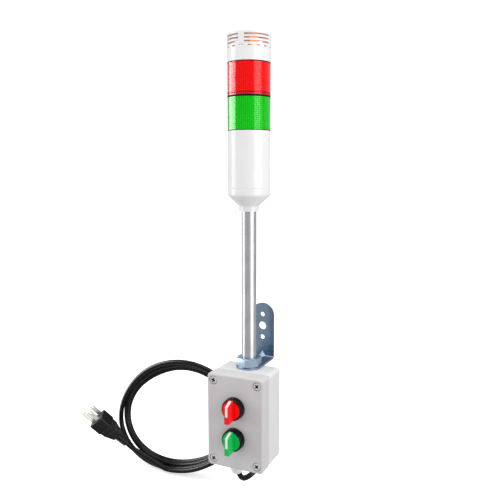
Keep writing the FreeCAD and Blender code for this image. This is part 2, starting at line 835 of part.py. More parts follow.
def repeat(body, label, places, rotation, origin):
    """One node that holds a copy of the same piece at each place."""
    copies = []
    for index, (x, y, z) in enumerate(places):
        copy = doc.addObject("Part::Compound", "%s_%d" % (label, index))
        copy.Links = [body]
        place(copy, x, y, z, rotation)
        copies.append(copy)
    group = doc.addObject("Part::Compound", label)
    group.Links = copies
    keep(group, label)
    place(group, *origin)
    return group


# ---- selector switches -----------------------------------------------------------------------

def bezel(label, level):
    """Black operator body: threaded barrel, flange and stepped ring with a round bed for the knob."""
    body = new_body(label)
    hole = s.stem_radius + s.stem_fit
    bed = s.disc_radius + s.disc_gap
    neck = s.bezel_radius - s.ring_groove
    revolve(body, [
        (hole, -s.barrel_length), (s.barrel_radius, -s.barrel_length), (s.barrel_radius, s.seal_thickness),
        (s.flange_radius, s.seal_thickness), (s.flange_radius, s.flange_height),
        (neck, s.flange_height), (neck, s.flange_height + s.ring_groove),
        (s.bezel_radius, s.flange_height + s.ring_groove), (s.bezel_radius, s.ring_groove_level),
        (neck, s.ring_groove_level), (neck, s.ring_groove_level + s.ring_groove),
        (s.bezel_radius, s.ring_groove_level + s.ring_groove),
        (s.bezel_radius, s.bezel_height - s.bezel_lip), (s.bezel_radius - s.bezel_lip / 2, s.bezel_height),
        (bed, s.bezel_height), (bed, s.disc_seat), (hole, s.disc_seat)])
    place(body, 0, lid_face, level, FACING)


def knob(label, level):
    """Coloured knob: disc, raised handle with a sloped pointing end, and the stem behind it."""
    body = new_body(label)
    low = s.disc_front - s.face_gap
    seat = s.disc_seat + s.face_gap
    revolve(body, [(0, -s.stem_length), (s.stem_radius, -s.stem_length), (s.stem_radius, seat),
                   (s.disc_radius, seat), (s.disc_radius, s.disc_front), (0, s.disc_front)])
    half = s.handle_half_length
    sketch = new_sketch(body, "YZ_Plane")
    polygon(sketch, [(-half, low), (half, low), (s.handle_kink, s.handle_front), (-half, s.handle_front)])
    feature(body, "Pad", sketch, Length=s.handle_width, Midplane=True)
    front = float(s.handle_front)
    dress(body, "Fillet", lambda edge: near(edge.BoundBox.ZMax, front), s.handle_round)
    sketch = new_sketch(body, "YZ_Plane")
    tip_y, tip_z = pointer_tip()
    floor = s.handle_front - s.pointer_inset
    polygon(sketch, [(-s.pointer_tail, floor), (s.handle_kink - s.pointer_inset, floor),
                     (tip_y - s.pointer_inset, tip_z), (half + OVER, tip_z),
                     (half + OVER, s.handle_front + OVER), (-s.pointer_tail, s.handle_front + OVER)])
    feature(body, "Pocket", sketch, Length=s.pointer_width + 2 * s.thread_fit, Midplane=True)
    place(body, 0, lid_face, level, FACING)


def pointer_tip():
    """Lower end of the white line on the sloped end of the handle."""
    share = s.pointer_reach
    tip_y = s.handle_kink + (s.handle_half_length - s.handle_kink) * share
    tip_z = s.handle_front - (s.handle_front - s.disc_front) * share
    return tip_y, tip_z


def pointer(label, level):
    """White insert that fills the groove of the handle."""
    body = new_body(label)
    tip_y, tip_z = pointer_tip()
    floor = s.handle_front - s.pointer_inset
    sketch = new_sketch(body, "YZ_Plane")
    polygon(sketch, [(-s.pointer_tail, floor), (s.handle_kink - s.pointer_inset, floor),
                     (tip_y - s.pointer_inset, tip_z), (tip_y, tip_z),
                     (s.handle_kink, s.handle_front), (-s.pointer_tail, s.handle_front)])
    feature(body, "Pad", sketch, Length=s.pointer_width, Midplane=True)
    place(body, 0, lid_face, level, FACING)


def panel_seal(label, level):
    body = new_body(label)
    revolve(body, [(s.panel_hole_radius, 0), (s.flange_radius - s.seal_thickness, 0),
                   (s.flange_radius - s.seal_thickness, s.seal_thickness), (s.panel_hole_radius, s.seal_thickness)])
    place(body, 0, lid_face, level, FACING)


def panel_nut(label, level):
    """Notched ring behind the lid that clamps the operator."""
    body = new_body(label)
    inside = s.barrel_radius + s.thread_fit
    revolve(body, [(inside, -s.clamp_height), (s.clamp_radius, -s.clamp_height), (s.clamp_radius, 0), (inside, 0)])
    sketch = new_sketch(body, "XY_Plane")
    rectangle(sketch, s.clamp_radius - s.clamp_notch / 2, -s.clamp_notch / 2,
              s.clamp_radius + OVER, s.clamp_notch / 2)
    notch = feature(body, "Pocket", sketch, Type=1)
    polar(body, notch, s.clamp_notches)
    place(body, 0, lid_face + s.box_wall, level, FACING)


def contact_block(label, level):
    """Switch element on the barrel's end, with two screw terminals above and below."""
    body = new_body(label)
    half_x = s.block_width / 2
    half_y = s.block_height / 2
    sketch = new_sketch(body, "XY_Plane")
    rectangle(sketch, -half_x, -half_y, half_x, half_y)
    feature(body, "Pad", sketch, Length=s.block_depth, Reversed=True)
    sketch = new_sketch(body, "XY_Plane")
    circle(sketch, 0, 0, s.stem_radius + s.disc_gap)
    feature(body, "Pocket", sketch, Length=s.stem_length - s.barrel_length + s.face_gap)
    sketch = new_sketch(body, "XY_Plane")
    for side_x in (-1, 1):
        for side_y in (-1, 1):
            x = side_x * (half_x - s.terminal_width)
            y = side_y * (half_y - s.terminal_width / 2 - s.board_thickness)
            circle(sketch, x, y, s.terminal_width / 2)
    feature(body, "Pocket", sketch, Length=s.block_depth / 2)
    place(body, 0, lid_face + s.barrel_length, level, FACING)


def terminal_block():
    """Row of screw terminals on the back wall, where the mains lead ends."""
    body = new_body("terminal_block")
    pitch = s.terminal_width + s.board_thickness
    half = pitch * 2
    sketch = new_sketch(body, "XZ_Plane")
    rectangle(sketch, -half, 0, half, s.terminal_width * 2)
    feature(body, "Pad", sketch, Length=s.terminal_width)
    sketch = new_sketch(body, "XZ_Plane", s.terminal_width)
    for step in (-1.5, -0.5, 0.5, 1.5):
        circle(sketch, step * pitch, s.terminal_width, s.terminal_width / 3)
    feature(body, "Pocket", sketch, Length=s.terminal_width / 2)
    place(body, s.box_width / 8, seam + body_depth - s.box_wall, box_top - s.box_height + s.box_wall)


# ---- cable gland -------------------------------------------------------------------------------

box_bottom = box_top - s.box_height


def gland():
    """White gland under the box: body, sealing ring, domed nut and the locknut inside."""
    body = new_body("gland_body")
    sketch = new_sketch(body, "XY_Plane")
    hexagon(sketch, s.gland_across, 20.0)
    feature(body, "Pad", sketch, Length=s.gland_flange, Reversed=True)
    sketch = new_sketch(body, "XY_Plane", -s.gland_flange - s.gland_neck)
    circle(sketch, 0, 0, s.gland_thread_radius)
    feature(body, "Pad", sketch, Length=s.gland_flange + s.gland_neck + s.gland_thread_inside)
    sketch = new_sketch(body, "XY_Plane", s.gland_thread_inside)
    circle(sketch, 0, 0, s.gland_bore_radius)
    feature(body, "Pocket", sketch, Type=1)
    sketch = new_sketch(body, "XY_Plane", -s.gland_flange - s.gland_neck)
    circle(sketch, 0, 0, s.gland_thread_radius - s.board_thickness)
    feature(body, "Pocket", sketch, Length=s.gland_neck, Reversed=True)
    place(body, gland_x, gland_y, box_bottom)

    ring = new_body("gland_seal")
    outer = s.gland_thread_radius - s.board_thickness
    revolve(ring, [(s.cord_radius, 0), (outer, 0), (outer, s.gland_neck), (s.cord_radius, s.gland_neck)])
    place(ring, gland_x, gland_y, box_bottom - s.gland_flange - s.gland_neck)

    nut = new_body("gland_nut")
    hole = s.gland_thread_radius + s.thread_fit
    skirt = s.gland_nut_height - s.gland_dome
    revolve(nut, [
        (hole, 0), (s.gland_nut_radius, 0), (s.gland_nut_radius, -skirt),
        (s.gland_nut_radius - s.gland_dome * 0.08, -skirt - s.gland_dome * 0.35),
        (s.gland_nut_radius - s.gland_dome * 0.22, -skirt - s.gland_dome * 0.68),
        (s.gland_nose_radius, -s.gland_nut_height), (s.gland_bore_radius, -s.gland_nut_height),
        (s.gland_bore_radius, -s.gland_neck), (hole, -s.gland_neck)])
    sketch = new_sketch(nut, "XY_Plane")
    circle(sketch, s.gland_nut_radius + s.rib_depth, 0, s.rib_depth * 1.6)
    rib = feature(nut, "Pocket", sketch, Length=skirt)
    polar(nut, rib, s.gland_grip_count)
    place(nut, gland_x, gland_y, box_bottom - s.gland_flange - s.face_gap)

    lock = hex_nut("gland_locknut", s.gland_across, s.gland_locknut_height, hole, 8.0, False)
    place(lock, gland_x, gland_y, box_bottom + s.box_wall)


# ---- mains lead ----------------------------------------------------------------------------------

def tube_path(label, points, radius):
    """Straight runs joined by tangent arcs, swept with a round section."""
    points = [Vector(*map(float, point)) for point in points]
    start = points[0]
    edges = []
    radii = []
    for before, corner, after in zip(points, points[1:], points[2:]):
        back = (before - corner).normalize()
        ahead = (after - corner).normalize()
        cut = 0.45 * min(before.distanceToPoint(corner), after.distanceToPoint(corner))
        half_turn = (math.pi - back.getAngle(ahead)) / 2
        bend = cut / math.tan(half_turn)
        enter = corner + back * cut
        leave = corner + ahead * cut
        middle = corner + (back + ahead).normalize() * (bend / math.cos(half_turn) - bend)
        edges.append(Part.LineSegment(start, enter).toShape())
        edges.append(Part.Arc(enter, middle, leave).toShape())
        radii.append(bend)
        start = leave
    edges.append(Part.LineSegment(start, points[-1]).toShape())
    path = Part.Wire(edges)
    section = Part.Wire(Part.Circle(points[0], points[1] - points[0], radius).toShape())
    shape = path.makePipeShell([section], True, False)
    expected = math.pi * radius ** 2 * path.Length
    print("%s: length %.0f, bend radii %s, volume %.4f of section times length" % (
        label, path.Length, " ".join("%.0f" % bend for bend in radii), shape.Volume / expected))
    made = doc.addObject("Part::Feature", label)
    made.Shape = shape
    return keep(made, label)


def coil_point(angle):
    """Middle line of the coil: a tilted oval, drawn out at its end behind the box."""
    turn = math.radians(angle)
    tilt = math.radians(s.coil_tilt.value)
    long_part = s.coil_long.value * math.cos(turn)
    short_part = s.coil_short.value * math.sin(turn)
    nose = s.coil_nose.value * max(0.0, math.cos(turn + math.radians(20))) ** 3
    x = -s.coil_left.value + long_part * math.cos(tilt) - short_part * math.sin(tilt) + nose
    z = -s.coil_drop.value + long_part * math.sin(tilt) + short_part * math.cos(tilt)
    return Vector(x, 0, z)


def cord_coil():
    """Closed outer shape of the wound part of the lead: a bevelled oval band round an open middle."""
    middle = Vector(0, -(s.coil_front.value + s.coil_back.value) / 2, 0)
    curve = Part.BSplineCurve()
    curve.interpolate(Points=[coil_point(angle) + middle for angle in range(0, 360, 20)], PeriodicFlag=True)
    half = s.coil_band.value / 2
    deep = (s.coil_front.value - s.coil_back.value) / 2
    bevel = s.coil_bevel.value
    start = curve.value(curve.FirstParameter)
    heading = curve.tangent(curve.FirstParameter)[0]
    outward = Vector(heading.z, 0, -heading.x).normalize()
    rim = []
    for out, back in ((half, deep - bevel), (half - bevel, deep), (bevel - half, deep), (-half, deep - bevel)):
        rim.append(start + outward * out + Vector(0, back, 0))
    for out, back in ((-half, bevel - deep), (bevel - half, -deep), (half - bevel, -deep), (half, bevel - deep)):
        rim.append(start + outward * out + Vector(0, back, 0))
    sweep = Part.BRepOffsetAPI.MakePipeShell(Part.Wire(curve.toShape()))
    sweep.setBiNormalMode(Vector(0, 1, 0))
    sweep.add(Part.makePolygon(rim + rim[:1]))
    sweep.build()
    sweep.makeSolid()
    made = doc.addObject("Part::Feature", "cord_coil")
    made.Shape = sweep.shape()
    keep(made, "cord_coil")


def lead():
    """Lead from the terminals through the gland, back under the box and up behind it to the coil."""
    x, y = gland_x, gland_y
    inside = box_bottom + s.gland_thread_inside + s.gland_locknut_height
    tube_path("cord_lead", [
        (x, y, inside), (x, y, box_bottom - 41.8), (x + 12, y + 30, box_bottom - 41.8),
        (x + 22, y + 31.5, box_bottom - 8), (x + 24, y + 35, box_bottom + 27),
        (x + 8, y + 39, box_bottom + 55), (x - 10, y + 40.5, box_bottom + 62)], s.cord_radius.value)


def tail():
    """Free end of the lead, from the foot of the coil to the plug's relief."""
    end = plug_turn().multVec(Vector(0, 0, -float(s.plug_length + s.relief_length)))
    end = Vector(-s.plug_left.value, -s.plug_front.value, -s.plug_down.value) + end
    ahead = plug_turn().multVec(Vector(0, 0, -1))
    tube_path("cord_tail", [
        (-120, -17, -214.5), (-150, -17, -213), (-176, -19.5, -200), end + ahead * 10, end], s.cord_radius.value)


# ---- plug ----------------------------------------------------------------------------------------

def plug_turn():
    return Rotation(s.plug_yaw.value, s.plug_pitch.value, s.plug_roll.value)


def plug_body():
    """Moulded plug: block, shoulders, grip panels and a ribbed relief; its face is at the top."""
    body = new_body("plug_body")
    half_x = s.plug_width / 2
    half_y = s.plug_depth / 2
    neck_x = s.plug_neck_width / 2
    neck_y = s.plug_neck_depth / 2
    back = -s.plug_length
    ledge = s.plug_step
    sketch = new_sketch(body, "YZ_Plane")
    polygon(sketch, [
        (-half_y, 0), (half_y, 0), (half_y, -s.plug_block), (half_y - ledge, -s.plug_block - ledge),
        (half_y - 2 * ledge, back + ledge), (neck_y, back), (-neck_y, back), (-half_y, -s.plug_shoulder)])
    feature(body, "Pad", sketch, Length=s.plug_width, Midplane=True)
    sketch = new_sketch(body, "XZ_Plane")
    for side in (-1, 1):
        polygon(sketch, [
            (side * half_x, -s.plug_block), (side * (half_x + OVER), -s.plug_block),
            (side * (half_x + OVER), back - OVER), (side * neck_x, back - OVER), (side * neck_x, back)])
    cut_through(body, sketch)
    wide = float(half_x)

    def long_edge(edge):
        box = edge.BoundBox
        return near(box.XMax - box.XMin, 0) and near(abs(box.XMax), wide) and near(box.YMin, box.YMax)

    dress(body, "Fillet", long_edge, s.plug_round)
    for side in (-1, 1):
        sketch = new_sketch(body, "YZ_Plane", side * half_x)
        rectangle(sketch, s.plug_margin - half_y, -s.plug_block + ledge, half_y - s.plug_margin, -s.plug_margin)
        feature(body, "Pocket", sketch, Length=s.grip_depth, Reversed=side < 0)

    step = s.relief_length / s.relief_ribs
    points = [(0, 1 - s.plug_length), (s.relief_top_radius, 1 - s.plug_length)]
    for index in range(int(s.relief_ribs.value)):
        share = index / s.relief_ribs.value
        outer = s.relief_top_radius + (s.relief_foot_radius - s.relief_top_radius) * share
        top = -s.plug_length - step * index
        points.append((outer, top))
        points.append((outer, top - s.relief_rib_width))
        points.append((outer - s.relief_groove_depth, top - s.relief_rib_width))
        points.append((outer - s.relief_groove_depth, top - step))
    points.append((0, -s.plug_length - s.relief_length))
    revolve(body, points)

    sketch = new_sketch(body, "XY_Plane")
    for side in (-1, 1):
        blade_outline(sketch, side, s.thread_fit)
    circle(sketch, 0, s.ground_offset - s.pin_shift, s.ground_radius + s.thread_fit)
    feature(body, "Pocket", sketch, Length=s.pin_root)
    place(body, -s.plug_left, -s.plug_front, -s.plug_down, plug_turn())


def blade_outline(sketch, side, fit):
    x = side * s.blade_pitch / 2
    half_x = s.blade_thickness / 2 + fit
    half_y = s.blade_width / 2 + fit
    rectangle(sketch, x - half_x, -s.pin_shift - half_y, x + half_x, half_y - s.pin_shift)


def plug_blades():
    """Two flat blades with a round hole near the tip."""
    body = doc.addObject("PartDesign::Body", "plug_blade")
    sketch = new_sketch(body, "XY_Plane", -s.pin_root)
    rectangle(sketch, -s.blade_thickness / 2, -s.blade_width / 2, s.blade_thickness / 2, s.blade_width / 2)
    feature(body, "Pad", sketch, Length=s.blade_length + s.pin_root)
    length = float(s.blade_length)
    dress(body, "Chamfer", lambda edge: near(edge.BoundBox.ZMin, length) and near(
        edge.BoundBox.XMax, edge.BoundBox.XMin), s.blade_thickness / 3)
    sketch = new_sketch(body, "YZ_Plane")
    circle(sketch, 0, s.blade_length - s.blade_width / 2, s.blade_hole_radius)
    cut_through(body, sketch)
    places = [(side * s.blade_pitch / 2, -s.pin_shift, 0) for side in (-1, 1)]
    group = repeat(body, "plug_blades", places, Rotation(), (-s.plug_left, -s.plug_front, -s.plug_down))
    group.Placement = Placement(group.Placement.Base, plug_turn())


def ground_pin():
    body = new_body("ground_pin")
    blunt = s.ground_radius / 2
    revolve(body, [(0, -s.pin_root), (s.ground_radius, -s.pin_root), (s.ground_radius, s.ground_length - blunt),
                   (blunt, s.ground_length), (0, s.ground_length)])
    offset = plug_turn().multVec(Vector(0, float(s.ground_offset - s.pin_shift), 0))
    place(body, -s.plug_left + offset.x, -s.plug_front + offset.y, -s.plug_down + offset.z, plug_turn())


# ---- assembly --------------------------------------------------------------------------------------

FACING = Rotation(Vector(1, 0, 0), 90)          # a piece's own Z points out of the lid, its Y up

base_cone()
driver_board()
housing()
lamp_board("green_lamp_board", green_foot)
lens("green_lens", green_foot)
divider()
lamp_board("red_lamp_board", red_foot)
lens("red_lens", red_foot)
buzzer_cap()
sounder_board()
sounder()
pole()
nuts()
bracket()
box_body()
lid_gasket()
box_lid()
lid_screws()
for colour, level in (("red", box_top - s.selector_drop), ("green", box_top - s.selector_drop - s.selector_pitch)):
    panel_seal(colour + "_panel_seal", level)
    bezel(colour + "_bezel", level)
    panel_nut(colour + "_panel_nut", level)
    contact_block(colour + "_contact_block", level)
    knob(colour + "_knob", level)
    pointer(colour + "_pointer", level)
terminal_block()
gland()
lead()
cord_coil()
tail()
plug_body()
plug_blades()
ground_pin()

doc.recompute()
os.makedirs("parts", exist_ok=True)
faults = 0
for obj in doc.Objects:
    if "Invalid" in obj.State or "Error" in obj.State:
        print("fault in", obj.Name, obj.Label, obj.State)
        faults += 1
for obj in parts:
    shape = obj.Shape
    if shape.isNull() or not shape.isValid() or not shape.Solids:
        print("bad shape in", obj.Label)
        faults += 1
if faults:
    raise RuntimeError("%d faults" % faults)
for obj in parts:
    obj.Shape.exportStep("parts/%s.step" % obj.Label)
print("%d parts written" % len(parts))
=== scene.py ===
import json
import math

import bmesh
import bpy
from mathutils import Matrix, Vector


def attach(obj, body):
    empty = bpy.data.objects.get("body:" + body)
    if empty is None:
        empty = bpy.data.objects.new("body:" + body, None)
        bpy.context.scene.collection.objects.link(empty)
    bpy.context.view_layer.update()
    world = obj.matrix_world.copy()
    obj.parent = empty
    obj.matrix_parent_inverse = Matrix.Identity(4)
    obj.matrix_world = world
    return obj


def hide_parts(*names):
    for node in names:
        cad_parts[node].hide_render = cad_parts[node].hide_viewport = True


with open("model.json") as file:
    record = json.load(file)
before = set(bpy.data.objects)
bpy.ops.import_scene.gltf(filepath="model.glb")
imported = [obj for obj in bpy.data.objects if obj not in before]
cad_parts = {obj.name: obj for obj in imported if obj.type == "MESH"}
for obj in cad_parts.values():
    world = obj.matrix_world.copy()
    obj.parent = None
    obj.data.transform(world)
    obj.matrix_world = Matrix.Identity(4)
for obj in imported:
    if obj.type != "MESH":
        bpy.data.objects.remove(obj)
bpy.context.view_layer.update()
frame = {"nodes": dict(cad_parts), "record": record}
nodes = frame["nodes"]
scene = bpy.context.scene
mm = 0.001
towerAxis = -43 * mm
creaseAngle = math.radians(28)


# Shader helpers. A material starts from plain socket values, and some channels are then textured.

def newMaterial(name, color, roughness, **sockets):
    material = bpy.data.materials.new(name)
    material.use_nodes = True
    tree = material.node_tree
    shader = tree.nodes["Principled BSDF"]
    shader.inputs["Base Color"].default_value = (*color, 1)
    shader.inputs["Roughness"].default_value = roughness
    for socket, value in sockets.items():
        shader.inputs[socket.replace("_", " ")].default_value = value
    material.diffuse_color = (*color, 1)
    return material, tree, shader


def addNode(tree, kind, **values):
    node = tree.nodes.new(kind)
    for name, value in values.items():
        if name in node.inputs:
            node.inputs[name].default_value = value
        else:
            setattr(node, name, value)
    return node


def objectCoords(tree, scale=(1, 1, 1), turn=(0, 0, 0)):
    coords = addNode(tree, "ShaderNodeTexCoord")
    mapping = addNode(tree, "ShaderNodeMapping")
    mapping.inputs["Scale"].default_value = scale
    mapping.inputs["Rotation"].default_value = turn
    tree.links.new(coords.outputs["Object"], mapping.inputs["Vector"])
    return mapping.outputs["Vector"]


def noise(tree, vector, scale, detail=3.0, roughness=0.5):
    node = addNode(tree, "ShaderNodeTexNoise", Scale=scale, Detail=detail, Roughness=roughness)
    tree.links.new(vector, node.inputs["Vector"])
    return node.outputs["Fac"]


def ramp(tree, factor, stops):
    node = addNode(tree, "ShaderNodeValToRGB")
    elements = node.color_ramp.elements
    while len(elements) < len(stops):
        elements.new(0.5)
    for element, (place, color) in zip(elements, stops):
        element.position = place
        element.color = (*color, 1)
    tree.links.new(factor, node.inputs["Fac"])
    return node.outputs["Color"]


def grey(value):
    return (value, value, value)


def tint(color, factor):
    return tuple(min(1.0, channel * factor) for channel in color)


def addBump(tree, shader, height, strength, distance):
    bump = addNode(tree, "ShaderNodeBump", Strength=strength, Distance=distance)
    tree.links.new(height, bump.inputs["Height"])
    tree.links.new(bump.outputs["Normal"], shader.inputs["Normal"])
    return bump


# Moulded plastic: faint cloudiness in the colour, uneven gloss and a very fine skin.

def mouldedPlastic(name, color, roughness, skin=0.04, grain=900.0, **sockets):
    material, tree, shader = newMaterial(name, color, roughness, **sockets)
    vector = objectCoords(tree)
    cloud = noise(tree, vector, 35.0, 4.0)
    shade = ramp(tree, cloud, [(0.3, tint(color, 0.965)), (0.7, tint(color, 1.02))])
    tree.links.new(shade, shader.inputs["Base Color"])
    patches = noise(tree, vector, 90.0, 3.0)
    gloss = ramp(tree, patches, [(0.35, grey(roughness * 0.9)), (0.7, grey(min(1.0, roughness * 1.15)))])
    tree.links.new(gloss, shader.inputs["Roughness"])
    addBump(tree, shader, noise(tree, vector, grain, 2.0), skin, 0.0002)
    return material


# Lens plastic: deep coloured, with fine upright flutes round the tower's axis; a thin line of a deeper tone
# along each flute is painted shade.

def lensPlastic(name, color, deep, flutes):
    material, tree, shader = newMaterial(name, color, 0.10, Coat_Weight=0.45, Coat_Roughness=0.12,
                                         Coat_IOR=1.5)
    shader.inputs["Specular IOR Level"].default_value = 0.4
    shader.inputs["Specular Tint"].default_value = (*color, 1)
    coords = addNode(tree, "ShaderNodeTexCoord")
    mapping = addNode(tree, "ShaderNodeMapping")
    mapping.inputs["Location"].default_value = (0, -towerAxis, 0)
    tree.links.new(coords.outputs["Object"], mapping.inputs["Vector"])
    around = addNode(tree, "ShaderNodeTexGradient", gradient_type="RADIAL")
    tree.links.new(mapping.outputs["Vector"], around.inputs["Vector"])
    count = addNode(tree, "ShaderNodeMath", operation="MULTIPLY")
    count.inputs[1].default_value = flutes
    tree.links.new(around.outputs["Fac"], count.inputs[0])
    share = addNode(tree, "ShaderNodeMath", operation="PINGPONG")
    share.inputs[1].default_value = 0.5
    tree.links.new(count.outputs["Value"], share.inputs[0])
    # painted shade: the colour falls to the deep tone in a thin line along each flute
    shade = ramp(tree, share.outputs["Value"], [(0.06, deep), (0.20, color)])
    tree.links.new(shade, shader.inputs["Base Color"])
    patches = noise(tree, mapping.outputs["Vector"], 90.0)
    gloss = ramp(tree, patches, [(0.3, grey(0.08)), (0.7, grey(0.14))])
    tree.links.new(gloss, shader.inputs["Roughness"])
    bump = addBump(tree, shader, share.outputs["Value"], 0.05, 0.0004)
    tree.links.new(bump.outputs["Normal"], shader.inputs["Coat Normal"])
    return material


# Drawn or plated metal: streaks along one direction and slight stains.

def workedMetal(name, color, roughness, streak, streakScale=900.0, relief=0.05, wear=0.3):
    material, tree, shader = newMaterial(name, color, roughness, Metallic=1.0)
    lines = noise(tree, objectCoords(tree, streak), streakScale, 4.0, 0.6)
    gloss = ramp(tree, lines, [(0.3, grey(roughness * (1 - wear))), (0.7, grey(roughness * (1 + wear)))])
    tree.links.new(gloss, shader.inputs["Roughness"])
    stain = noise(tree, objectCoords(tree), 40.0, 5.0)
    shade = ramp(tree, stain, [(0.3, tint(color, 0.88)), (0.7, tint(color, 1.06))])
    tree.links.new(shade, shader.inputs["Base Color"])
    addBump(tree, shader, lines, relief, 0.0001)
    return material


# Cord jacket: dull black rubber with a fine lengthwise drag and pale scuffs.

def cordRubber(name, color, roughness):
    material, tree, shader = newMaterial(name, color, roughness, Specular_IOR_Level=0.16)
    vector = objectCoords(tree)
    scuff = noise(tree, vector, 260.0, 5.0, 0.65)
    shade = ramp(tree, scuff, [(0.45, color), (0.78, tint(color, 2.4))])
    tree.links.new(shade, shader.inputs["Base Color"])
    patches = noise(tree, vector, 120.0)
    gloss = ramp(tree, patches, [(0.3, grey(roughness * 0.8)), (0.7, grey(roughness * 1.25))])
    tree.links.new(gloss, shader.inputs["Roughness"])
    addBump(tree, shader, noise(tree, vector, 1500.0, 2.0), 0.04, 0.0002)
    return material


finishes = {
    "tower_white": mouldedPlastic("towerWhite", (0.835, 0.83, 0.84), 0.24,
                                  Coat_Weight=0.25, Coat_Roughness=0.08),
    # the second colour of each lens is its painted flute shade
    "red_lens": lensPlastic("redLens", (1.0, 0.0, 0.0), (0.50, 0.0, 0.0), 72),
    "green_lens": lensPlastic("greenLens", (0.0, 0.62, 0.002), (0.0, 0.20, 0.002), 72),
    "dark_plastic": mouldedPlastic("darkPlastic", (0.004, 0.004, 0.005), 0.35, Specular_IOR_Level=0.15),
    # the sounder's emission is a painted glow that brightens the orange behind the cap slots; it is no lamp
    "sounder_orange": mouldedPlastic("sounderOrangeGlow", (1.0, 0.30, 0.02), 0.3,
                                     Emission_Color=(1.0, 0.24, 0.02, 1), Emission_Strength=1.2),
    "board_white": mouldedPlastic("boardWhite", (0.70, 0.70, 0.66), 0.5),
    "pole_metal": workedMetal("poleMetal", (0.54, 0.54, 0.57), 0.30, (1, 1, 0.02), relief=0.01, wear=0.15),
    "zinc": workedMetal("zincPlate", (0.36, 0.46, 0.58), 0.26, (1, 1, 1), 200.0, relief=0.002, wear=0.08),
    "box_grey": mouldedPlastic("boxGrey", (0.69, 0.69, 0.685), 0.42, 0.08, 1400.0),
    "lid_grey": mouldedPlastic("lidGrey", (0.58, 0.56, 0.57), 0.45, 0.08, 1400.0),
    # painted shade: the bracket gets a darker copy of the same zinc plating the nut has
    "bracket": workedMetal("bracketZincShaded", (0.25, 0.34, 0.45), 0.26, (1, 1, 1), 200.0,
                           relief=0.002, wear=0.08),
    "screw_metal": workedMetal("screwMetal", (0.86, 0.84, 0.80), 0.3, (1, 1, 1), 400.0),
    "black_rubber": cordRubber("sealRubber", (0.006, 0.006, 0.006), 0.6),
    "operator_black": mouldedPlastic("operatorBlack", (0.003, 0.003, 0.004), 0.22, Specular_IOR_Level=0.16),
    "knob_red": mouldedPlastic("knobRed", (0.92, 0.001, 0.001), 0.3, Specular_IOR_Level=0.3),
    "knob_green": mouldedPlastic("knobGreen", (0.0, 0.50, 0.09), 0.3, Specular_IOR_Level=0.3),
    "pointer_white": mouldedPlastic("pointerWhite", (0.85, 0.85, 0.84), 0.3),
    "block_grey": mouldedPlastic("blockGrey", (0.25, 0.26, 0.27), 0.5),
    "gland_white": mouldedPlastic("glandWhite", (0.80, 0.80, 0.78), 0.38),
    "cord_black": cordRubber("cordBlack", (0.004, 0.004, 0.0045), 0.24),
    "plug_black": mouldedPlastic("plugBlack", (0.005, 0.005, 0.006), 0.34, 0.10, 1600.0,
                                 Specular_IOR_Level=0.22),
    "pin_metal": workedMetal("pinMetal", (0.95, 0.90, 0.84), 0.30, (1, 1, 1), 300.0),
}
print("finishes:", len(finishes))


# CAD nodes keep their shape: welded and smoothed for show, and given their finish.

slotOf = {entry["node"]: entry["material_slot"] for entry in frame["record"]["subparts"]}


def dressNodes():
    for name, node in nodes.items():
        node.data.materials.clear()
        node.data.materials.append(finishes.get(name, finishes[slotOf[name]]))
        node.data.shade_smooth()
        weld = node.modifiers.new("weld", "WELD")
        weld.merge_threshold = 0.005 * mm
        split = node.modifiers.new("split", "EDGE_SPLIT")
        split.split_angle = creaseAngle
    print("dressed CAD nodes:", len(nodes))


dressNodes()


# A ring turned round the tower's axis from a closed profile of radii and levels.

def spunMesh(profile, steps):
    mesh = bmesh.new()
    verts = [mesh.verts.new((radius * mm, towerAxis, level * mm)) for radius, level in profile]
    edges = [mesh.edges.new(pair) for pair in zip(verts, verts[1:] + verts[:1])]
    bmesh.ops.spin(mesh, geom=verts + edges, cent=(0, towerAxis, 0), axis=(0, 0, 1),
                   angle=2 * math.pi, steps=steps, use_merge=True)
    bmesh.ops.recalc_face_normals(mesh, faces=mesh.faces)
    return mesh


def soften(mesh, edges, width, segments):
    bmesh.ops.bevel(mesh, geom=edges, offset=width * mm, segments=segments, affect="EDGES",
                    profile=0.5, material=-1)


def addPiece(name, mesh, finish, body, *replaced):
    data = bpy.data.meshes.new(name)
    mesh.to_mesh(data)
    mesh.free()
    data.shade_smooth()
    data.materials.append(finishes[finish])
    piece = bpy.data.objects.new(name, data)
    scene.collection.objects.link(piece)
    split = piece.modifiers.new("split", "EDGE_SPLIT")
    split.split_angle = creaseAngle
    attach(piece, body)
    if replaced:
        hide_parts(*replaced)
    return piece


# Lenses: rings with fine rounds of grooves, dark seals at their seams, dark teeth at the red one's foot.

lenses = {
    "radius": 25.0,
    "bore": 22.6,
    "height": 37.2,
    "margin": 2.2,
    "grooves": 16,
    "grooveDepth": 0.28,
    "grooveHalf": 0.32,
    "edge": 0.25,
    "steps": 96,
    "feet": {"redLensShell": ("red_lens", 279.7), "greenLensShell": ("green_lens", 241.3)},
    "seals": [(240.7, 241.65), (277.9, 280.3), (315.95, 317.1)],
    "sealRadius": 25.14,
    "sealDepth": 0.6,
    "sealSoft": 0.12,
    "teeth": 64,
    "toothSize": (0.9, 1.35, 2.1),
    "toothLevel": 282.6,
    "toothSink": 0.4,
    "toothSoft": 0.1,
}


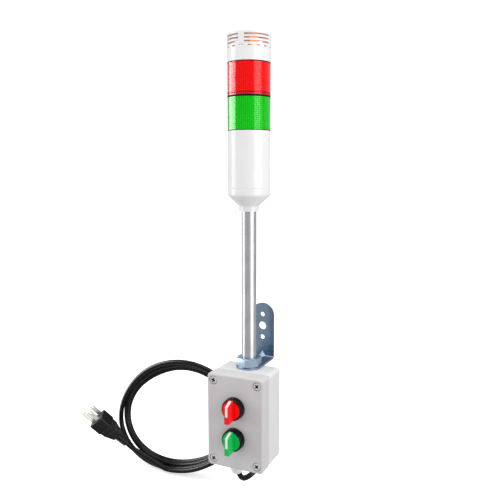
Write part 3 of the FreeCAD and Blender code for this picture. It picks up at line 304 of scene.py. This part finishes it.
def makeLenses():
    radius, bore, edge = lenses["radius"], lenses["bore"], lenses["edge"]
    pitch = (lenses["height"] - 2 * lenses["margin"]) / (lenses["grooves"] - 1)
    for name, (node, foot) in lenses["feet"].items():
        profile = [(bore, foot), (radius - edge, foot), (radius, foot + edge)]
        for index in range(lenses["grooves"]):
            level = foot + lenses["margin"] + pitch * index
            profile += [(radius, level - lenses["grooveHalf"]), (radius - lenses["grooveDepth"], level),
                        (radius, level + lenses["grooveHalf"])]
        top = foot + lenses["height"]
        profile += [(radius, top - edge), (radius - edge, top), (bore, top)]
        addPiece(name, spunMesh(profile, lenses["steps"]), node, "stand", node)
    outer, soft = lenses["sealRadius"], lenses["sealSoft"]
    inner = outer - lenses["sealDepth"]
    for index, (low, high) in enumerate(lenses["seals"]):
        profile = [(inner, low), (outer - soft, low), (outer, low + soft), (outer, high - soft),
                   (outer - soft, high), (inner, high)]
        addPiece("lensSeal%d" % (index + 1), spunMesh(profile, lenses["steps"]), "dark_plastic", "stand")
    mesh = bmesh.new()
    middle = Matrix.Translation((0, towerAxis, 0))
    size = Matrix.Diagonal((*(Vector(lenses["toothSize"]) * mm), 1))
    for index in range(lenses["teeth"]):
        turn = Matrix.Rotation(2 * math.pi * index / lenses["teeth"], 4, "Z")
        reach = Matrix.Translation(Vector((radius - lenses["toothSink"], 0, lenses["toothLevel"])) * mm)
        bmesh.ops.create_cube(mesh, size=1.0, matrix=middle @ turn @ reach @ size)
    soften(mesh, mesh.edges[:], lenses["toothSoft"], 1)
    addPiece("lensTeeth", mesh, "dark_plastic", "stand")
    print("lenses, seals and teeth:", len(lenses["feet"]), len(lenses["seals"]), lenses["teeth"])


makeLenses()


# Lid screws: heads with a soft rim, and dark crosses almost flush in them, each turned its own way; the
# crosses are painted shade standing for the cross recesses.

screws = {
    "places": [(-28.1, -49.9, 20), (28.1, -49.9, 45), (-28.1, -146.9, 35), (28.1, -146.9, 50)],
    "headRadius": 4.6,
    "headHeight": 2.4,
    "shankRadius": 2.0,
    "front": -83.3,
    "tip": -57.4,
    "arm": 5.2,
    "armWidth": 1.75,
    "driveDepth": 0.9,
    "driveProud": 0.03,
    "soft": 0.7,
    "steps": 48,
}


def makeScrews():
    heads = bmesh.new()
    recessShades = bmesh.new()
    upright = Matrix.Rotation(math.pi / 2, 4, "X")
    headBack = screws["front"] + screws["headHeight"]
    parts = [(screws["headRadius"], screws["front"], headBack),
             (screws["shankRadius"], headBack, screws["tip"])]
    size = Matrix.Diagonal((*(Vector((screws["arm"], screws["driveDepth"], screws["armWidth"])) * mm), 1))
    middle = screws["front"] + screws["driveDepth"] / 2 - screws["driveProud"]
    for x, z, angle in screws["places"]:
        for radius, front, back in parts:
            place = Matrix.Translation(Vector((x, (front + back) / 2, z)) * mm) @ upright
            made = bmesh.ops.create_cone(heads, cap_ends=True, segments=screws["steps"], radius1=radius * mm,
                                         radius2=radius * mm, depth=(back - front) * mm, matrix=place)
            if radius == screws["headRadius"]:
                rim = [edge for vert in made["verts"] for edge in vert.link_edges
                       if all(end.co.y < (front + 0.01) * mm for end in edge.verts)]
                soften(heads, list(set(rim)), screws["soft"], 3)
        # painted shade: dark cross blocks sit where the shaded cross recess would be
        for turned in (angle, angle + 90):
            spin = Matrix.Rotation(math.radians(turned), 4, "Y")
            place = Matrix.Translation(Vector((x, middle, z)) * mm) @ spin
            bmesh.ops.create_cube(recessShades, size=1.0, matrix=place @ size)
    addPiece("lidScrewHeads", heads, "screw_metal", "stand", "lid_screws")
    addPiece("screwDrives", recessShades, "dark_plastic", "stand")
    print("lid screws:", len(screws["places"]))


makeScrews()


# Moulded plug: block, step, tapering shoulders with pressed-in panels and a ribbed relief.

plug = {
    "face": (-226.3, -52.0, -143.8),
    "turn": (114.65, -15.43, -41.33),
    # half width, half depth and distance behind the face
    "sections": [(10.4, 11.2, 0.0), (10.4, 11.2, 17.0), (9.4, 10.2, 18.2), (9.0, 9.8, 25.0),
                 (6.6, 7.0, 36.5), (6.2, 6.4, 39.0)],
    "corner": 1.6,
    "panelEdge": 2.4,
    "panelDepth": 0.6,
    "panelArea": 60.0,
    "reliefRibs": 5,
    "reliefSink": 1.0,
    "reliefEnd": 57.0,
    "ribRadius": (6.4, 5.8),
    "ribSoft": 0.4,
    "ribLift": 0.3,
    "ribGap": 0.8,
    "coreRadius": 4.9,
    "steps": 40,
}


def makePlug():
    mesh = bmesh.new()
    rings = []
    for wide, deep, back in plug["sections"]:
        corners = [(wide, deep), (-wide, deep), (-wide, -deep), (wide, -deep)]
        rings.append([mesh.verts.new(Vector((x, y, -back)) * mm) for x, y in corners])
    longEdges = []
    for first, second in zip(rings, rings[1:]):
        for index in range(4):
            after = (index + 1) % 4
            mesh.faces.new((first[index], second[index], second[after], first[after]))
            longEdges.append(mesh.edges.get((first[index], second[index])))
    mesh.faces.new(rings[0])
    mesh.faces.new(rings[-1][::-1])
    soften(mesh, longEdges, plug["corner"], 3)
    bmesh.ops.recalc_face_normals(mesh, faces=mesh.faces)
    panels = [face for face in mesh.faces
              if abs(face.normal.z) < 0.5 and face.calc_area() > plug["panelArea"] * mm * mm]
    bmesh.ops.inset_individual(mesh, faces=panels, thickness=plug["panelEdge"] * mm,
                               depth=-plug["panelDepth"] * mm)
    start = plug["sections"][-1][2] - plug["reliefSink"]
    pitch = (plug["reliefEnd"] - start) / plug["reliefRibs"]
    core, soft, lift, gap = plug["coreRadius"], plug["ribSoft"], plug["ribLift"], plug["ribGap"]
    profile = [(0.0, start)]
    for index in range(plug["reliefRibs"]):
        share = index / (plug["reliefRibs"] - 1)
        rib = plug["ribRadius"][0] * (1 - share) + plug["ribRadius"][1] * share
        head = start + pitch * index
        tail = head + pitch - gap
        profile += [(core, head), (rib - soft, head + lift), (rib, head + gap),
                    (rib, tail - gap), (rib - soft, tail - lift), (core, tail)]
    profile.append((0.0, plug["reliefEnd"]))
    verts = [mesh.verts.new(Vector((radius, 0, -back)) * mm) for radius, back in profile]
    edges = [mesh.edges.new(pair) for pair in zip(verts, verts[1:])]
    bmesh.ops.spin(mesh, geom=verts + edges, cent=(0, 0, 0), axis=(0, 0, 1), angle=2 * math.pi,
                   steps=plug["steps"], use_merge=True)
    bmesh.ops.remove_doubles(mesh, verts=mesh.verts, dist=0.002 * mm)
    bmesh.ops.recalc_face_normals(mesh, faces=mesh.faces)
    yaw, pitchTurn, roll = [math.radians(angle) for angle in plug["turn"]]
    turn = Matrix.Rotation(yaw, 4, "Z") @ Matrix.Rotation(pitchTurn, 4, "Y") @ Matrix.Rotation(roll, 4, "X")
    bmesh.ops.transform(mesh, matrix=Matrix.Translation(Vector(plug["face"]) * mm) @ turn, verts=mesh.verts)
    print("plug sections:", len(plug["sections"]))
    return addPiece("plugMoulding", mesh, "plug_black", "stand", "plug_body")


plugPiece = makePlug()


# Housing: one smooth drum with a fine chamfer at each end.

housing = {"radius": 25.0, "bore": 22.8, "foot": 174.9, "top": 241.3, "edge": 0.4, "steps": 128}


def makeHousing():
    radius, edge, foot, top = housing["radius"], housing["edge"], housing["foot"], housing["top"]
    profile = [(housing["bore"], foot), (radius - edge, foot), (radius, foot + edge), (radius, top - edge),
               (radius - edge, top), (housing["bore"], top)]
    addPiece("housingDrum", spunMesh(profile, housing["steps"]), "tower_white", "stand", "housing")
    print("housing drum")


makeHousing()


# The mains lead: one spline from the gland round the coil to the plug.

lead = {
    "radius": 3.4 * mm,
    "coilCentre": (-119.5, -137.0),
    "coilLong": 91.5,
    "coilShort": 69.2,
    "coilTilt": 24.0,
    "coilNose": 8.0,
    "noseTurn": 20.0,
    "pointsPerTurn": 24,
    "startAngle": -38.0,
    "endAngle": -1186.0,
    "length": 2.0,
    "exit": (-16, -45, -180.6),
    # outward step and depth at the bottom, left, top and nose of each turn; the steps come from
    # a least-squares fit, and about half of them were then changed
    "lay": [((-1.6, -3.8), (2.2, -4.0), (-4.9, -4.2), (-8.3, -9.9)),
            ((0.5, -10.1), (-0.2, -10.5), (0.8, -10.7), (1.9, -15.6)),
            ((2.7, -16.6), (9.5, -13.0), (6.4, -17.0), (5.4, -20.9)),
            ((3.6, -22.6), (3.6, -22.6), (3.6, -22.6), (3.6, -22.6))],
    # how far each turn stands out between its left and its top
    "swell": (1.2, 1.4, -2.6, 0.0),
}


def coilPoint(angle):
    turned = -90.0 - angle
    along = max(0.0, turned / 90.0)
    stops = [stop for turn in lead["lay"] for stop in turn]
    low = min(int(along), len(stops) - 2)
    blend = min(1.0, along - low)
    blend = blend * blend * (3 - 2 * blend)
    out = stops[low][0] + (stops[low + 1][0] - stops[low][0]) * blend
    if low % 4 == 1:
        out += lead["swell"][low // 4] * math.sin(math.pi * (along - low)) ** 2
    depth = stops[low][1] + (stops[low + 1][1] - stops[low][1]) * blend
    turn = math.radians(angle)
    tilt = math.radians(lead["coilTilt"])
    wide = (lead["coilLong"] + out) * math.cos(turn)
    tall = (lead["coilShort"] + out) * math.sin(turn)
    nose = lead["coilNose"] * max(0.0, math.cos(turn + math.radians(lead["noseTurn"]))) ** 3
    x = lead["coilCentre"][0] + wide * math.cos(tilt) - tall * math.sin(tilt) + nose
    z = lead["coilCentre"][1] + wide * math.sin(tilt) + tall * math.cos(tilt)
    return (x, depth, z)


def leadRoute():
    points = [(-16, -45, -154), (-16, -45, -193.6), (-4, -15, -193.6), (6, -13.5, -163), (8, -10, -128),
              (-8, -6, -100), (-26, -4.5, -93), (-40, -4.5, -99), (-46.5, -4.8, -120)]
    step = 360.0 / lead["pointsPerTurn"]
    angle = lead["startAngle"]
    while angle > lead["endAngle"]:
        points.append(coilPoint(angle))
        angle -= step
    points += [(-133, -22.4, -213.2), (-148, -22.2, -208.6), (-164, -22.3, -202.8), (-179, -22.4, -197.0),
               (-191.6, -22.5, -192.3), (-196.8, -26, -185.1)]
    return [Vector(point) * mm for point in points]


def makeLead():
    curve = bpy.data.curves.new("mainsLead", "CURVE")
    curve.dimensions = "3D"
    route = leadRoute()
    spline = curve.splines.new("NURBS")
    spline.points.add(len(route) - 1)
    for point, place in zip(spline.points, route):
        point.co = (*place, 1)
    spline.order_u = 3
    spline.use_endpoint_u = True
    spline.resolution_u = 8
    curve.bevel_depth = lead["radius"]
    curve.bevel_resolution = 6
    curve.use_fill_caps = True
    curve.materials.append(finishes["cord_black"])
    cord = bpy.data.objects.new("mainsLead", curve)
    scene.collection.objects.link(cord)
    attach(cord, "stand")
    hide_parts("cord_lead", "cord_coil", "cord_tail")
    print("lead: control points", len(route))


makeLead()


# Floor, light and camera.

stage = {
    "floorLevel": -217.9 * mm,
    "floorSize": 4.0,
    "wallDistance": 1.6,
    "wallHeight": 3.5,
    "curveRadius": 0.8,
    "curveSteps": 12,
    "front": -2.5,
    "color": (0.90, 0.90, 0.90),
    "glow": 0.55,
    "worldGlow": 0.64,
    "lightAim": (-0.03, -0.05, 0.05),
}


def makeBackdrop():
    mesh = bmesh.new()
    front = mesh.verts.new((-stage["floorSize"], stage["front"], stage["floorLevel"]))
    last = front
    edges = []
    path = [(stage["wallDistance"], 0.0)]
    for step in range(1, stage["curveSteps"] + 1):
        angle = math.radians(90.0 * step / stage["curveSteps"])
        path.append((stage["wallDistance"] + stage["curveRadius"] * math.sin(angle),
                     stage["curveRadius"] * (1 - math.cos(angle))))
    path.append((stage["wallDistance"] + stage["curveRadius"], stage["wallHeight"]))
    for y, rise in path:
        vert = mesh.verts.new((-stage["floorSize"], y, stage["floorLevel"] + rise))
        edges.append(mesh.edges.new((last, vert)))
        last = vert
    made = bmesh.ops.extrude_edge_only(mesh, edges=edges)
    moved = [item for item in made["geom"] if isinstance(item, bmesh.types.BMVert)]
    bmesh.ops.translate(mesh, verts=moved, vec=(2 * stage["floorSize"], 0, 0))
    bmesh.ops.recalc_face_normals(mesh, faces=mesh.faces)
    for face in mesh.faces:
        face.smooth = True
    data = bpy.data.meshes.new("backdrop")
    mesh.to_mesh(data)
    mesh.free()
    backdrop = bpy.data.objects.new("backdrop", data)
    scene.collection.objects.link(backdrop)
    material, tree, shader = newMaterial("backdropPaper", stage["color"], 0.9)
    fibre = noise(tree, objectCoords(tree), 12.0, 3.0)
    tree.links.new(ramp(tree, fibre, [(0.3, grey(0.895)), (0.7, grey(0.905))]), shader.inputs["Base Color"])
    shader.inputs["Emission Color"].default_value = (1, 1, 1, 1)
    shader.inputs["Emission Strength"].default_value = stage["glow"]
    data.materials.append(material)
    backdrop.visible_diffuse = False
    backdrop.visible_glossy = False


# The two strips show only in reflections on the lenses, the lead and the plug.
lights = {
    "left": {"place": (-1.93, -0.86, 0.30), "size": (1.1, 2.4), "power": 25.0, "diffuse": True},
    "right": {"place": (2.0, -0.64, 0.30), "size": (1.7, 2.2), "power": 28.0, "diffuse": True},
    "top": {"place": (0.1, -0.2, 2.3), "size": (2.0, 2.0), "power": 34.0, "diffuse": True},
    "leftStrip": {"place": (-2.02, -0.50, 0.25), "size": (1.85, 2.6), "power": 150.0, "diffuse": False},
    "rightStrip": {"place": (1.86, -0.72, 0.25), "size": (1.1, 2.6), "power": 34.0, "diffuse": False},
}


def makeLights():
    target = Vector(stage["lightAim"])
    shiny = bpy.data.collections.new("shinyPieces")
    for name in ("redLensShell", "greenLensShell", "mainsLead", "plugMoulding"):
        shiny.objects.link(bpy.data.objects[name])
    for name, values in lights.items():
        data = bpy.data.lights.new(name, "AREA")
        data.shape = "RECTANGLE"
        data.size, data.size_y = values["size"]
        data.energy = values["power"]
        lamp = bpy.data.objects.new(name, data)
        lamp.location = values["place"]
        lamp.rotation_euler = (target - lamp.location).to_track_quat("-Z", "Y").to_euler()
        lamp.visible_diffuse = values["diffuse"]
        if not values["diffuse"]:
            lamp.light_linking.receiver_collection = shiny
        scene.collection.objects.link(lamp)
    world = bpy.data.worlds.new("studio")
    world.use_nodes = True
    background = world.node_tree.nodes["Background"]
    background.inputs["Color"].default_value = (1, 1, 1, 1)
    background.inputs["Strength"].default_value = stage["worldGlow"]
    scene.world = world
    scene.view_settings.view_transform = "Standard"


view = {
    "lens": 44.08,
    "sensor": 36.0,
    "nearest": 0.01,
    "place": (0.30090, -0.69942, 0.19595),
    "down": 0.1299,
    "turn": 0.4282,
}


def makeCamera():
    data = bpy.data.cameras.new("camera")
    data.lens = view["lens"]
    data.sensor_width = view["sensor"]
    data.clip_start = view["nearest"]
    camera = bpy.data.objects.new("camera", data)
    camera.location = view["place"]
    camera.rotation_euler = (math.pi / 2 - view["down"], 0, view["turn"])
    scene.collection.objects.link(camera)
    scene.camera = camera


makeBackdrop()
makeLights()
makeCamera()
print("stage, lights and camera set")
